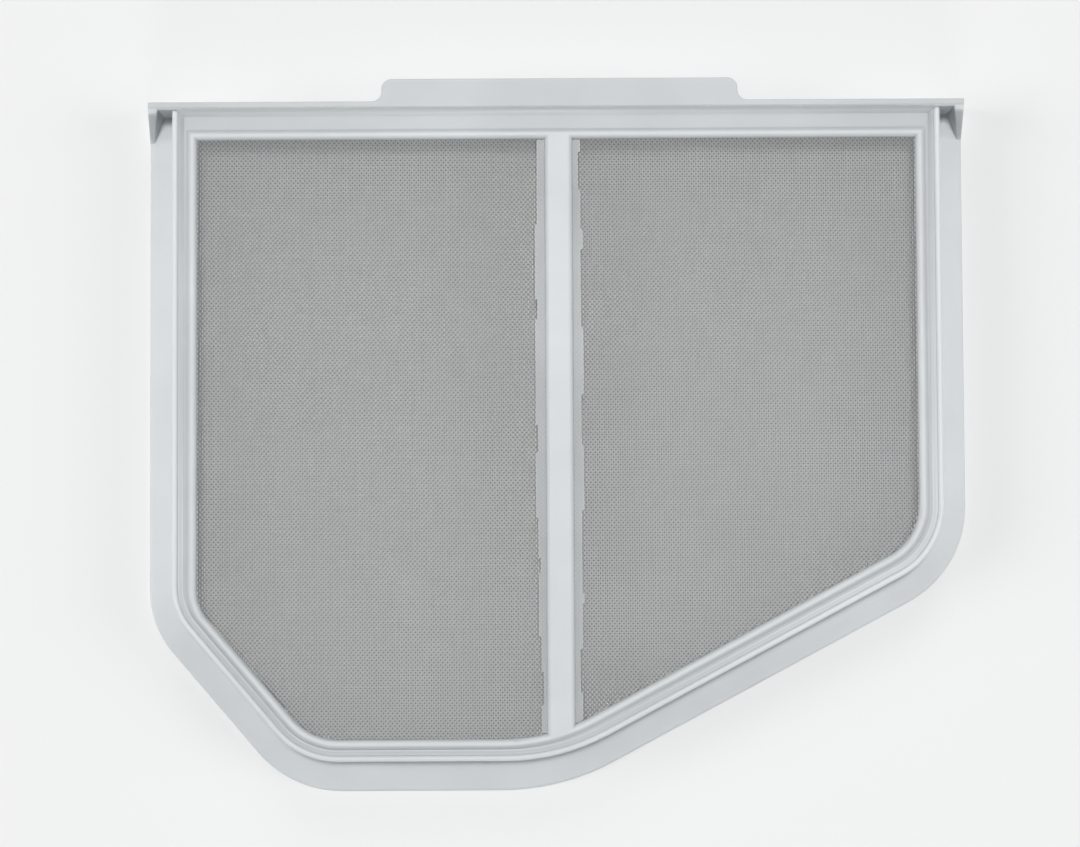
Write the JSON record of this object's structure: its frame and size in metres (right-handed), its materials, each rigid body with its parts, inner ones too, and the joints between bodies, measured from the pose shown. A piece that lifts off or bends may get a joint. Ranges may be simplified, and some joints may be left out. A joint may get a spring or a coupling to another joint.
{
  "type": "tumble dryer lint filter",
  "caption": "Flat moulded lint filter with a pull tab on its top plate, a sliding flange round a slanted outline, and woven wire mesh in its windows.",
  "frame": {"origin": "middle of the box round the part, on the surface that the flange's back lies on", "axes": "+X along the top plate towards the side with the long slope, +Y towards the pull tab, +Z out of the front face"},
  "size_m": [0.322, 0.2778, 0.025],
  "materials": {
    "frame_plastic": "satin moulded light grey",
    "mesh_wire": "woven bright wire"
  },
  "bodies": {
    "root": {"filter_frame": "frame_plastic", "wire_mesh": "mesh_wire"}
  },
  "joints": []
}
